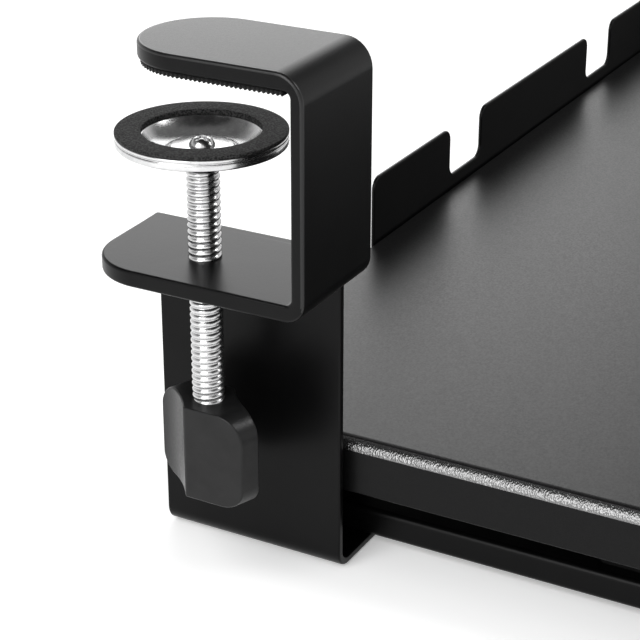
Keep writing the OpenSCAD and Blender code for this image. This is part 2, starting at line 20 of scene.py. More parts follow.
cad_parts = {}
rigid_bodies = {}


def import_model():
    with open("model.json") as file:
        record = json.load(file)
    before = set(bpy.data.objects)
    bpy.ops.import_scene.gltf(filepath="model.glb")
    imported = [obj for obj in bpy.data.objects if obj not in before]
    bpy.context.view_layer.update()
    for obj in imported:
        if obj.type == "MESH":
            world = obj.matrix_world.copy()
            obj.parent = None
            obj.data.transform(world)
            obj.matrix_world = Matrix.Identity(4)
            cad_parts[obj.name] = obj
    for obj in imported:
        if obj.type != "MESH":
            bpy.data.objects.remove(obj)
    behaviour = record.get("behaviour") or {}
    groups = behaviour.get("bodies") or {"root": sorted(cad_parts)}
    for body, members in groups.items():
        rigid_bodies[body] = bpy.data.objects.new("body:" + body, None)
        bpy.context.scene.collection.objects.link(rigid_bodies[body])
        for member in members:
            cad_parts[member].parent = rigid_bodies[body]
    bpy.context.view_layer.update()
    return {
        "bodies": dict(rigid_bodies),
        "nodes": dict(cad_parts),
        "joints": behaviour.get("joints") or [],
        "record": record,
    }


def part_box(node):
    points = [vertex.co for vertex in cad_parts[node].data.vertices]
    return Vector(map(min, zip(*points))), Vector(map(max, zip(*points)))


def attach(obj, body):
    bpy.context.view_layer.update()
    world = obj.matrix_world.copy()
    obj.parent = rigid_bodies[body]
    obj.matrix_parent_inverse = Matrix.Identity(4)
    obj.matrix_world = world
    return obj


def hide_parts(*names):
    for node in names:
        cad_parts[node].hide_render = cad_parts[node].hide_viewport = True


LOG = logging.getLogger("keyboard_tray")
MM = 0.001

# Share of a side that the rounding of one corner may take
CORNER_SHARE = 0.45
# An edge that turns by more than this is rounded, in so many steps
SHARP_ANGLE = math.radians(28)
EDGE_STEPS = 3
# Range in which most values of a pattern lie
PATTERN_RANGE = (0.3, 0.7)
# Points nearer than this count as level
LEVEL = 0.01
# Weight of the large faces in a sheet's normals
FACE_WEIGHT = 100

Pair = tuple[float, float]
Triple = tuple[float, float, float]
Colour = Triple
Corners = tuple[Vector, Vector]
Profile = list[Pair]
Ring = list[Vector]
EdgeTest = Callable[[bmesh.types.BMEdge], bool]


class Side(Enum):
    """The two ends of the tray, each with the sign of its X."""

    LEFT = -1
    RIGHT = 1

    @property
    def prefix(self) -> str:
        """Start of the names of this side's nodes."""
        return self.name.lower()

    def node(self, kind: str) -> str:
        """Name of this side's node of one kind."""
        return f"{self.prefix}_{kind}"


class Surface(Enum):
    """How a mesh is shaded."""

    ROUND = "round"
    SHEET = "sheet"


def link_object(name: str, data: bpy.types.ID) -> bpy.types.Object:
    """Puts a new object into the scene.

    Args:
        name: Name of the object.
        data: Its mesh, lamp or camera.

    Returns:
        The object.
    """
    thing = bpy.data.objects.new(name, data)
    bpy.context.scene.collection.objects.link(thing)
    return thing


# Mesh tools


@cache
def node_box(node: str) -> Corners:
    """Finds where a node of the frame lies.

    Args:
        node: Name of the node.

    Returns:
        Its lowest and highest corners in millimetres.
    """
    low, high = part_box(node)
    return low / MM, high / MM


def arc(mid: Pair, radius: float, start: float, end: float, steps: int) -> Profile:
    """Draws an arc in a plane.

    Args:
        mid: Centre of the arc.
        radius: Its radius.
        start: Angle of its first point, in degrees.
        end: Angle of its last point, in degrees.
        steps: Number of straight steps.

    Returns:
        The points from start to end.
    """
    points = []
    for i in range(steps + 1):
        angle = math.radians(start + (end - start) * i / steps)
        points.append((mid[0] + radius * math.cos(angle), mid[1] + radius * math.sin(angle)))
    return points


def soften(profile: Profile, radius: float, steps: int = 4) -> Profile:
    """Rounds every corner of a closed profile.

    Args:
        profile: Corner points in order.
        radius: How far from a corner its rounding starts.
        steps: Number of straight steps in each rounding.

    Returns:
        The rounded profile.
    """
    rounded: Profile = []
    count = len(profile)
    for i, corner in enumerate(profile):
        here = Vector(corner)
        before = Vector(profile[i - 1])
        after = Vector(profile[(i + 1) % count])
        start = here + (before - here).normalized() * min(radius, (before - here).length * CORNER_SHARE)
        end = here + (after - here).normalized() * min(radius, (after - here).length * CORNER_SHARE)
        for k in range(steps + 1):
            t = k / steps
            point = start * (1 - t) ** 2 + here * 2 * t * (1 - t) + end * t ** 2
            rounded.append((point.x, point.y))
    return rounded


def rounded_rectangle(low: Vector, high: Vector, radius: float, steps: int) -> Profile:
    """Draws a rectangle with round corners, anticlockwise.

    Args:
        low: Lowest corner.
        high: Highest corner.
        radius: Radius of the corners.
        steps: Straight steps in each corner.

    Returns:
        The points of the outline.
    """
    corners = (
        (high.x - radius, low.y + radius, -90), (high.x - radius, high.y - radius, 0),
        (low.x + radius, high.y - radius, 90), (low.x + radius, low.y + radius, 180),
    )
    return [p for x, y, turn in corners for p in arc((x, y), radius, turn, turn + 90, steps)]


def loft(rings: Sequence[Ring], closed: bool = False) -> bmesh.types.BMesh:
    """Joins rings of equal length with quads.

    Args:
        rings: The rings in order, each a closed loop of points.
        closed: Whether the last ring joins the first; otherwise both ends are capped.

    Returns:
        The closed mesh, with its faces turned outwards.
    """
    bm = bmesh.new()
    loops = [[bm.verts.new(point) for point in ring] for ring in rings]
    count = len(rings[0])
    pairs = list(zip(loops, loops[1:]))
    if closed:
        pairs.append((loops[-1], loops[0]))
    for first, second in pairs:
        for i in range(count):
            j = (i + 1) % count
            bm.faces.new((first[i], first[j], second[j], second[i]))
    if not closed:
        bm.faces.new(loops[0])
        bm.faces.new(loops[-1])
    bmesh.ops.recalc_face_normals(bm, faces=bm.faces)
    return bm


def lathe(profile: Profile, axis: Pair, steps: int = 96) -> bmesh.types.BMesh:
    """Turns a closed profile of (radius, z) points about an upright axis.

    Args:
        profile: The closed profile, clear of the axis.
        axis: X and Y of the axis.
        steps: Number of steps round the axis.

    Returns:
        The turned ring as a mesh.
    """
    rings = []
    for i in range(steps):
        angle = math.tau * i / steps
        across, along = math.cos(angle), math.sin(angle)
        rings.append([Vector((axis[0] + r * across, axis[1] + r * along, z)) for r, z in profile])
    return loft(rings, closed=True)


def polar_cap(
    height: Callable[[float, float], float], radii: Sequence[float], foot: float, axis: Pair,
    steps: int = 72,
) -> bmesh.types.BMesh:
    """Makes a round button whose face follows a height over its plan.

    Args:
        height: Z of the face at a point, from the point's X and Y off the axis.
        radii: Radii of the face's rings, from the middle out.
        foot: Z of the flat underside.
        axis: X and Y of the axis.
        steps: Number of steps round the axis.

    Returns:
        The closed mesh.
    """
    angles = [math.tau * i / steps for i in range(steps)]
    plans = [[(radius * math.cos(a), radius * math.sin(a)) for a in angles] for radius in radii]
    rings = [[Vector((axis[0] + x, axis[1] + y, height(x, y))) for x, y in plan] for plan in plans]
    rings.append([Vector((axis[0] + x, axis[1] + y, foot)) for x, y in plans[-1]])
    return loft(rings)


def round_edges(bm: bmesh.types.BMesh, radius: float, spare: EdgeTest | None = None, slot: int = 0) -> None:
    """Rounds the sharp edges of a mesh.

    Args:
        bm: The mesh.
        radius: Width of the rounding.
        spare: Test that picks the edges to leave sharp.
        slot: Material slot of the rounding's faces.
    """
    edges = []
    for edge in bm.edges:
        if edge.calc_face_angle(0) > SHARP_ANGLE:
            if spare and spare(edge):
                edge.smooth = False
            else:
                edges.append(edge)
    bmesh.ops.bevel(
        bm, geom=edges, offset=radius, offset_type="OFFSET", segments=EDGE_STEPS, profile=0.5,
        affect="EDGES", clamp_overlap=False, material=slot,
    )


# Finishes


@dataclass(frozen=True)
class Noise:
    """A cloudy pattern: its size in millimetres, its octaves of detail and its stretch along each axis."""

    size: float
    detail: float
    stretch: Triple = (1, 1, 1)


Relief = tuple[tuple[Noise, float], ...]


def set_range(node: bpy.types.Node, *ends: float) -> None:
    """Sets the range that a node maps and the range that it maps onto."""
    for name, value in zip(("From Min", "From Max", "To Min", "To Max"), ends):
        node.inputs[name].default_value = value


def set_ramp(node: bpy.types.Node, positions: Pair, colours: Iterable[Colour]) -> None:
    """Sets the two stops of a colour ramp.

    Args:
        node: The ramp.
        positions: Where its stops lie.
        colours: Their colours.
    """
    for stop, position, colour in zip(node.color_ramp.elements, positions, colours):
        stop.position = position
        stop.color = (*colour, 1)


class Shader:
    """One material, built node by node around a principled shader."""

    def __init__(self, name: str) -> None:
        """Starts an empty material.

        Args:
            name: Name of the material.
        """
        self.material = bpy.data.materials.new(name)
        self.material.use_nodes = True
        self.tree = self.material.node_tree
        self.base = self.tree.nodes["Principled BSDF"]
        self.place = self.tree.nodes.new("ShaderNodeTexCoord").outputs["Object"]

    def set(self, **values: float | tuple[float, ...]) -> None:
        """Sets constants on the principled shader.

        Args:
            **values: Value of each socket, by its name with underscores for spaces.
        """
        for name, value in values.items():
            self.base.inputs[name.replace("_", " ")].default_value = value

    def stretched(self, stretch: Triple) -> bpy.types.NodeSocket:
        """Stretches the pattern's space.

        Args:
            stretch: Scale along each axis.

        Returns:
            The stretched coordinates.
        """
        node = self.tree.nodes.new("ShaderNodeMapping")
        node.inputs["Scale"].default_value = stretch
        self.tree.links.new(self.place, node.inputs["Vector"])
        return node.outputs["Vector"]

    def noise(self, pattern: Noise) -> bpy.types.NodeSocket:
        """Adds cloudy noise.

        Args:
            pattern: Its size, detail and stretch.

        Returns:
            The noise, from 0 to 1.
        """
        node = self.tree.nodes.new("ShaderNodeTexNoise")
        node.inputs["Scale"].default_value = 1 / (pattern.size * MM)
        node.inputs["Detail"].default_value = pattern.detail
        self.tree.links.new(self.stretched(pattern.stretch), node.inputs["Vector"])
        return node.outputs["Fac"]

    def cells(
        self, size: float, smoothness: float, stretch: Triple = (1, 1, 1)
    ) -> bpy.types.NodeSocket:
        """Adds rounded cells, as in a pebbled grain.

        Args:
            size: Size of a cell in millimetres.
            smoothness: How softly the cells meet.
            stretch: Scale of the pattern along each axis.

        Returns:
            Distance from the middle of the nearest cell.
        """
        node = self.tree.nodes.new("ShaderNodeTexVoronoi")
        node.feature = "SMOOTH_F1"
        node.inputs["Scale"].default_value = 1 / (size * MM)
        node.inputs["Smoothness"].default_value = smoothness
        self.tree.links.new(self.stretched(stretch), node.inputs["Vector"])
        return node.outputs["Distance"]

    def spread(self, source: bpy.types.NodeSocket, low: float, high: float) -> bpy.types.NodeSocket:
        """Maps a pattern onto a range of values.

        Args:
            source: The pattern.
            low: Value at the pattern's low end.
            high: Value at its high end.

        Returns:
            The mapped value.
        """
        node = self.tree.nodes.new("ShaderNodeMapRange")
        set_range(node, *PATTERN_RANGE, low, high)
        self.tree.links.new(source, node.inputs["Value"])
        return node.outputs["Result"]

    def tint(self, source: bpy.types.NodeSocket, dark: Colour, light: Colour) -> None:
        """Colours the shader between two colours by a pattern.

        Args:
            source: The pattern.
            dark: Colour at its low end.
            light: Colour at its high end.
        """
        node = self.tree.nodes.new("ShaderNodeValToRGB")
        set_ramp(node, PATTERN_RANGE, (dark, light))
        self.tree.links.new(source, node.inputs["Fac"])
        self.tree.links.new(node.outputs["Color"], self.base.inputs["Base Color"])

    def rough(self, source: bpy.types.NodeSocket, low: float, high: float) -> None:
        """Varies the roughness by a pattern."""
        self.tree.links.new(self.spread(source, low, high), self.base.inputs["Roughness"])

    def bump(self, *layers: tuple[bpy.types.NodeSocket, float]) -> None:
        """Stacks height patterns into the shader's normal.

        Args:
            *layers: Each pattern with its height in millimetres.
        """
        below = None
        for source, height in layers:
            node = self.tree.nodes.new("ShaderNodeBump")
            node.inputs["Distance"].default_value = height * MM
            self.tree.links.new(source, node.inputs["Height"])
            if below is not None:
                self.tree.links.new(below, node.inputs["Normal"])
            below = node.outputs["Normal"]
        self.tree.links.new(below, self.base.inputs["Normal"])


@dataclass(frozen=True, kw_only=True)
class Finish:
    """A finish: the name of its slot, its darkest and lightest colour and its sheen."""

    slot: str
    dark: Colour
    light: Colour
    sheen: float = 0.5

    def shade(self, shader: Shader) -> None:
        """Builds the finish on a shader; each kind of finish has its own."""
        raise NotImplementedError

    def material(self) -> bpy.types.Material:
        """Makes the finish's material, or finds it if it is made.

        Returns:
            The material.
        """
        name = f"finish_{type(self).__name__}"
        made = bpy.data.materials.get(name)
        if made is None:
            shader = Shader(name)
            self.shade(shader)
            made = shader.material
        return made


@dataclass(frozen=True, kw_only=True)
class MottledFinish(Finish):
    """A finish whose colour, range of roughness and relief in millimetres each follow noise."""

    cloud: Noise
    haze: Noise
    polish: Pair
    relief: Relief
    metal: float = 0.0

    def shade(self, shader: Shader) -> None:
        """Builds the colour, polish and relief.

        Args:
            shader: The shader to build on.
        """
        shader.set(Specular_IOR_Level=self.sheen, Metallic=self.metal)
        shader.tint(shader.noise(self.cloud), self.dark, self.light)
        shader.rough(shader.noise(self.haze), *self.polish)
        self.emboss(shader)

    def emboss(self, shader: Shader) -> None:
        """Raises the relief on a shader."""
        shader.bump(*((shader.noise(grain), height) for grain, height in self.relief))


@dataclass(frozen=True)
class PowderCoat(MottledFinish):
    """Satin black powder coat with a faint orange peel."""

    slot: str = "powder_coat"
    dark: Colour = (0.0012, 0.0012, 0.0013)
    light: Colour = (0.0022, 0.0022, 0.0023)
    sheen: float = 0.13
    cloud: Noise = Noise(14, 3)
    haze: Noise = Noise(0.22, 1)
    polish: Pair = (0.29, 0.36)
    relief: Relief = ((Noise(0.9, 1), 0.010), (Noise(0.22, 2), 0.006))


@dataclass(frozen=True)
class EdgeSheen(PowderCoat):
    """The powder coat with a higher sheen, a painted highlight along rounded edges."""

    sheen: float = 0.42


@dataclass(frozen=True)
class BoardFoil(MottledFinish):
    """Black foil on the board, embossed with a fine pebbled grain."""

    slot: str = "board_foil"
    dark: Colour = (0.002, 0.002, 0.0021)
    light: Colour = (0.006, 0.006, 0.0062)
    sheen: float = 0.235
    cloud: Noise = Noise(0.3, 2)
    haze: Noise = Noise(0.75, 2)
    polish: Pair = (0.33, 0.43)
    relief: Relief = ((Noise(0.75, 0), 0.0035), (Noise(0.3, 0), 0.002))


@dataclass(frozen=True)
class SideFoil(BoardFoil):
    """The board's foil with less sheen, painted shade on its upright sides and the top of its rounded edge."""

    sheen: float = 0.14


@dataclass(frozen=True)
class EdgeGrain(BoardFoil):
    """The foil's coarse stretched grain on the board's rounded edge, with a raised sheen that paints bright
    glints on it.
    """

    # Sheen and index far above the plain foil's: painted glints on the grain
    sheen: float = 1.0
    ior: float = 1.9
    haze: Noise = Noise(1.2, 2)
    polish: Pair = (0.2, 0.28)
    pebble: float = 0.75
    pebble_meet: float = 0.4
    pebble_stretch: Triple = (1, 1.7, 1)
    pebble_h: float = 0.13

    def emboss(self, shader: Shader) -> None:
        """Raises the stretched pebbles and sets the high index that paints their glints."""
        shader.set(IOR=self.ior)
        shader.bump((shader.cells(self.pebble, self.pebble_meet, self.pebble_stretch), self.pebble_h))


@dataclass(frozen=True)
class ZincPlate(MottledFinish):
    """Bright zinc plate with the faint smears of a barrel-plated part."""

    slot: str = "zinc_plate"
    dark: Colour = (0.56, 0.56, 0.565)
    light: Colour = (0.67, 0.67, 0.67)
    metal: float = 1.0
    cloud: Noise = Noise(2.5, 3)
    haze: Noise = Noise(2.5, 3)
    polish: Pair = (0.21, 0.27)
    relief: Relief = ((Noise(2.5, 2), 0.004), (Noise(0.35, 2), 0.0015))


@dataclass(frozen=True)
class Foam(Finish):
    """Dense black foam with open pores."""

    slot: str = "foam"
    dark: Colour = (0.003, 0.003, 0.003)
    light: Colour = (0.042, 0.042, 0.042)
    sheen: float = 0.2
    dullness: float = 0.8
    pore: float = 0.55
    pore_meet: float = 0.3
    pore_depth: float = 0.12
    fuzz: Noise = Noise(0.55, 3)
    fuzz_h: float = 0.05

    def shade(self, shader: Shader) -> None:
        """Builds the foam's colour and pores.

        Args:
            shader: The shader to build on.
        """
        shader.set(Specular_IOR_Level=self.sheen, Roughness=self.dullness)
        pores = shader.cells(self.pore, self.pore_meet)
        # The pores' hollows are coloured darker than their walls: painted shade in the pores
        shader.tint(pores, self.dark, self.light)
        shader.bump((pores, self.pore_depth), (shader.noise(self.fuzz), self.fuzz_h))


@dataclass(frozen=True)
class Rubber(MottledFinish):
    """Soft black rubber, dull on its ribs."""

    slot: str = "rubber"
    dark: Colour = (0.006, 0.006, 0.006)
    light: Colour = (0.014, 0.014, 0.014)
    sheen: float = 0.3
    cloud: Noise = Noise(4, 4)
    haze: Noise = Noise(4, 4)
    polish: Pair = (0.55, 0.72)
    relief: Relief = ((Noise(0.3, 2), 0.015),)


@dataclass(frozen=True)
class KnobPlastic(MottledFinish):
    """Matt moulded plastic with a spark-eroded skin."""

    slot: str = "knob_plastic"
    dark: Colour = (0.006, 0.006, 0.0062)
    light: Colour = (0.011, 0.011, 0.0112)
    sheen: float = 0.24
    cloud: Noise = Noise(6, 3)
    haze: Noise = Noise(0.55, 2)
    polish: Pair = (0.28, 0.4)
    relief: Relief = ((Noise(0.55, 2), 0.03),)


@dataclass(frozen=True)
class CapPlastic(MottledFinish):
    """Plain black plastic of the end caps and spacers."""

    slot: str = "cap_plastic"
    dark: Colour = (0.003, 0.003, 0.003)
    light: Colour = (0.006, 0.006, 0.006)
    sheen: float = 0.15
    cloud: Noise = Noise(5, 3)
    haze: Noise = Noise(5, 3)
    polish: Pair = (0.38, 0.5)
    relief: Relief = ((Noise(0.4, 2), 0.012),)


@dataclass(frozen=True)
class Nylon(MottledFinish):
    """Milky nylon of the rollers, with turning marks."""

    slot: str = "nylon"
    dark: Colour = (0.74, 0.72, 0.66)
    light: Colour = (0.84, 0.82, 0.77)
    cloud: Noise = Noise(3, 3)
    haze: Noise = Noise(3, 3)
    polish: Pair = (0.32, 0.45)
    relief: Relief = ((Noise(0.5, 2, (4, 1, 1)), 0.01),)


POWDER_COAT = PowderCoat()
PAINTED_HIGHLIGHT_COAT = EdgeSheen()
BOARD_FOIL = BoardFoil()
PAINTED_SHADE_FOIL = SideFoil()
GRAIN_WITH_PAINTED_GLINT = EdgeGrain()
ZINC_PLATE = ZincPlate()
FOAM = Foam()
RUBBER = Rubber()
KNOB_PLASTIC = KnobPlastic()
CAP_PLASTIC = CapPlastic()
NYLON = Nylon()


# Pieces


def add_piece(
    name: str, bm: bmesh.types.BMesh, finish: Finish, body: str, stands_for: Iterable[str] = (),
    surface: Surface = Surface.ROUND,
) -> bpy.types.Object:
    """Makes a piece of the object from a mesh in millimetres.

    Args:
        name: Name of the piece.
        bm: Its mesh, freed here.
        finish: Its finish.
        body: The body that it rides on.
        stands_for: Nodes of the frame that it replaces.
        surface: How it is shaded.

    Returns:
        The new object.
    """
    bmesh.ops.scale(bm, vec=(MM, MM, MM), verts=bm.verts)
    mesh = bpy.data.meshes.new(name)
    bm.to_mesh(mesh)
    bm.free()
    mesh.polygons.foreach_set("use_smooth", [True] * len(mesh.polygons))
    piece = link_object(name, mesh)
    piece.data.materials.append(finish.material())
    if surface is Surface.SHEET:
        weighted = piece.modifiers.new("weighted_normals", "WEIGHTED_NORMAL")
        weighted.mode = "FACE_AREA_WITH_ANGLE"
        weighted.weight = FACE_WEIGHT
        weighted.keep_sharp = True
    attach(piece, body)
    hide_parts(*stands_for)
    LOG.info("%s rides on %s", name, body)
    return piece


def dress_node(frame: dict, node: str, finish: Finish) -> None:
    """Puts a finish on a node that is shown as it is.

    Args:
        frame: The loaded frame.
        node: Name of the node.
        finish: The finish.
    """
    shown = frame["nodes"][node]
    shown.data.materials.clear()
    shown.data.materials.append(finish.material())
    LOG.info("%s is dressed in %s", node, finish.slot)


@dataclass
class SidePart:
    """A sub-assembly of one side, placed inboard from the axis of that side's screw."""

    side: Side

    def box(self, kind: str) -> Corners:
        """Corners of this side's node of one kind."""
        return node_box(self.side.node(kind))

    def add(
        self, piece: str, bm: bmesh.types.BMesh, finish: Finish, body: str, kind: str,
        surface: Surface = Surface.ROUND,
    ) -> bpy.types.Object:
        """Adds a piece of this side that stands for one of its nodes.

        Args:
            piece: Name of the piece, without the side.
            bm: Its mesh in millimetres, freed here.
            finish: Its finish.
            body: The body that it rides on.
            kind: Kind of the node that it replaces.
            surface: How it is shaded.

        Returns:
            The new object.
        """
        return add_piece(self.side.node(piece), bm, finish, body, [self.side.node(kind)], surface)

    @property
    def axis(self) -> Pair:
        """X and Y of the screw's axis."""
        low, high = self.box("clamp_screw")
        return (low.x + high.x) / 2, (low.y + high.y) / 2

    def at(self, inboard: float, y: float, z: float) -> Vector:
        """Places a point of this side.

        Args:
            inboard: Distance inboard from the screw's axis.
            y: Y in the frame.
            z: Z in the frame.

        Returns:
            The point in the frame.
        """
        return Vector((self.axis[0] - self.side.value * inboard, y, z))

    def inboard(self, point: Vector) -> float:
        """Gives how far a point lies inboard from the screw's axis."""
        return (self.axis[0] - point.x) * self.side.value


@dataclass
class ClampFrame(SidePart):
    """The bent strip of one clamp and the ribbed pad under its upper jaw."""

    strip_t: float = 4.0
    upper_bend_r: float = 8.5
    lower_bend_r: float = 6.5
    inner_bend_r: float = 2.0
    jaw_corner_r: float = 18.5
    edge_r: float = 0.9
    jaw_swell: float = 1.0
    jaw_past: float = 1.5
    pad_inset: float = 0.8
    pad_swell: float = 0.1
    rib_pitch: float = 1.4
    rib_start: float = 0.02
    groove_depth: float = 0.6
    groove_power: float = 1.5
    tip_half: float = 0.2
    run_gap: float = 0.05
    bore_reach: float = 8.0
    nose_steps: int = 30
    bore_steps: int = 64
    bend_steps: int = 8
    steps_per_rib: int = 8

    def build(self) -> None:
        """Builds the strip and its pad."""
        frame_low, frame_high = self.box("clamp_frame")
        pad_low, pad_high = self.box("upper_pad")
        self.build_strip(frame_low, frame_high, pad_high.y + self.pad_inset)
        self.build_pad(pad_low, pad_high)

    def nose(self, mid_y: float, radius: float) -> Profile:
        """Lists (half width, y) down a round nose.

        Args:
            mid_y: Y of the middle of the nose's circle.
            radius: Radius of the nose.

        Returns:
            The stations from the tip to the full width.
        """
        step = 90 / (self.nose_steps + 0.5)
        angles = [math.radians(90 - step * (i + 0.5)) for i in range(self.nose_steps)] + [0.0]
        return [(radius * math.cos(a), mid_y + radius * math.sin(a)) for a in angles]

    def build_strip(self, low: Vector, high: Vector, nose_y: float) -> None:
        """Builds the strip, bent twice, with a round nose and one round corner.

        Args:
            low: Lowest corner of the strip.
            high: Its highest corner.
            nose_y: Y of the tip of the upper jaw.
        """
        half = (high.x - low.x) / 2
        t = self.strip_t
        rings: list[Ring] = []

        def section(
            outer: Pair, inner: Pair, outboard: float, inboard: float
        ) -> None:
            """Adds one section across the strip."""
            rings.append([
                self.at(-outboard, *outer), self.at(inboard, *outer),
                self.at(inboard, *inner), self.at(-outboard, *inner),
            ])

        for width, y in self.nose(nose_y - half, half):
            section((y, high.z), (y, high.z - t - self.jaw_swell), width, width)
        r_up, r_low, r_in = self.upper_bend_r, self.lower_bend_r, self.inner_bend_r
        outer = arc((low.y + r_up, high.z - r_up), r_up, 90, 180, self.bend_steps)
        inner = arc((low.y + t + r_in, high.z - t - self.jaw_swell - r_in), r_in, 90, 180, self.bend_steps)
        foot = low.z - self.jaw_swell
        outer += arc((low.y + r_low, foot + r_low), r_low, 180, 270, self.bend_steps)
        inner += arc((low.y + t + r_in, low.z + t + r_in), r_in, 180, 270, self.bend_steps)
        for out_point, in_point in zip(outer, inner):
            section(out_point, in_point, half, half)
        jaw_z = low.z + t
        r = self.jaw_corner_r
        for width, y in arc((half - r, high.y + self.jaw_past - r), r, 0, 90, self.bend_steps * 2):
            section((y, foot), (y, jaw_z), width, half)
        bm = loft(rings)
        plate_y = low.y + t + r_in

        def meets_plate(edge: bmesh.types.BMEdge) -> bool:
            """Tells whether an edge lies against the drop bracket."""
            return all(
                self.inboard(v.co) > half - LEVEL and v.co.z < jaw_z + LEVEL and v.co.y > plate_y - LEVEL
                for v in edge.verts
            )

        # The rounding's faces take slot 1, the coat with a painted highlight
        round_edges(bm, self.edge_r, meets_plate, 1)
        self.bore_jaw(bm, jaw_z)
        # Only the rounding along the outer side of the upper jaw, its bend and the spine keeps the painted
        # highlight; the rest goes back to the plain coat
        bend_y, bend_z = low.y + r_up, high.z - r_up
        for face in bm.faces:
            mid = face.calc_center_median()
            reach = math.hypot(min(mid.y - bend_y, 0.0), max(mid.z - bend_z, 0.0))
            if reach < r_up - self.edge_r:
                face.material_index = 0
        clamp = self.add("bent_clamp", bm, POWDER_COAT, "clamps", "clamp_frame", Surface.SHEET)
        clamp.data.materials.append(PAINTED_HIGHLIGHT_COAT.material())

    def bore_jaw(self, bm: bmesh.types.BMesh, jaw_z: float) -> None:
        """Cuts the screw's hole through the lower jaw.

        Args:
            bm: Mesh of the strip, which is changed.
            jaw_z: Z of the lower jaw's upper face.
        """
        low, high = self.box("clamp_screw")
        radius = (high.x - low.x) / 2 + self.run_gap
        drill = bmesh.new()
        bmesh.ops.create_cone(
            drill, cap_ends=True, segments=self.bore_steps, radius1=radius, radius2=radius,
            depth=2 * self.bore_reach, matrix=Matrix.Translation((*self.axis, jaw_z)),
        )
        blank, cutter = [link_object(name, bpy.data.meshes.new(name)) for name in ("blank", "cutter")]
        for thing, shape in ((blank, bm), (cutter, drill)):
            shape.to_mesh(thing.data)
            # Two empty slots, so that the cut keeps the slot of each face
            for _ in range(2):
                thing.data.materials.append(None)
        drill.free()
        cut = blank.modifiers.new("bore", "BOOLEAN")
        cut.operation, cut.solver, cut.object = "DIFFERENCE", "EXACT", cutter
        drilled = blank.evaluated_get(bpy.context.evaluated_depsgraph_get())
        bm.clear()
        bm.from_mesh(drilled.to_mesh())
        drilled.to_mesh_clear()
        for thing in (blank, cutter):
            bpy.data.meshes.remove(thing.data)

    def build_pad(self, low: Vector, high: Vector) -> None:
        """Builds the pad, its ribs across the jaw.

        Args:
            low: Lowest corner of the pad.
            high: Its highest corner.
        """
        half = (high.x - low.x) / 2
        top = high.z - self.jaw_swell
        mid_y = high.y - half
        count = int((high.y - low.y) / self.rib_pitch * self.steps_per_rib)
        rings: list[Ring] = []
        for i in range(count):
            y = low.y + (high.y - low.y) * (i + self.rib_start) / count
            width = half if y < mid_y else math.sqrt(max(half ** 2 - (y - mid_y) ** 2, self.tip_half ** 2))
            wave = 0.5 - 0.5 * math.cos(math.tau * (y - low.y) / self.rib_pitch)
            z = low.z - self.pad_swell + self.groove_depth * wave ** self.groove_power
            rings.append([
                self.at(-width, y, top), self.at(width, y, top), self.at(width, y, z), self.at(-width, y, z),
            ])
        pad = self.add("ribbed_pad", loft(rings), RUBBER, "clamps", "upper_pad", Surface.SHEET)


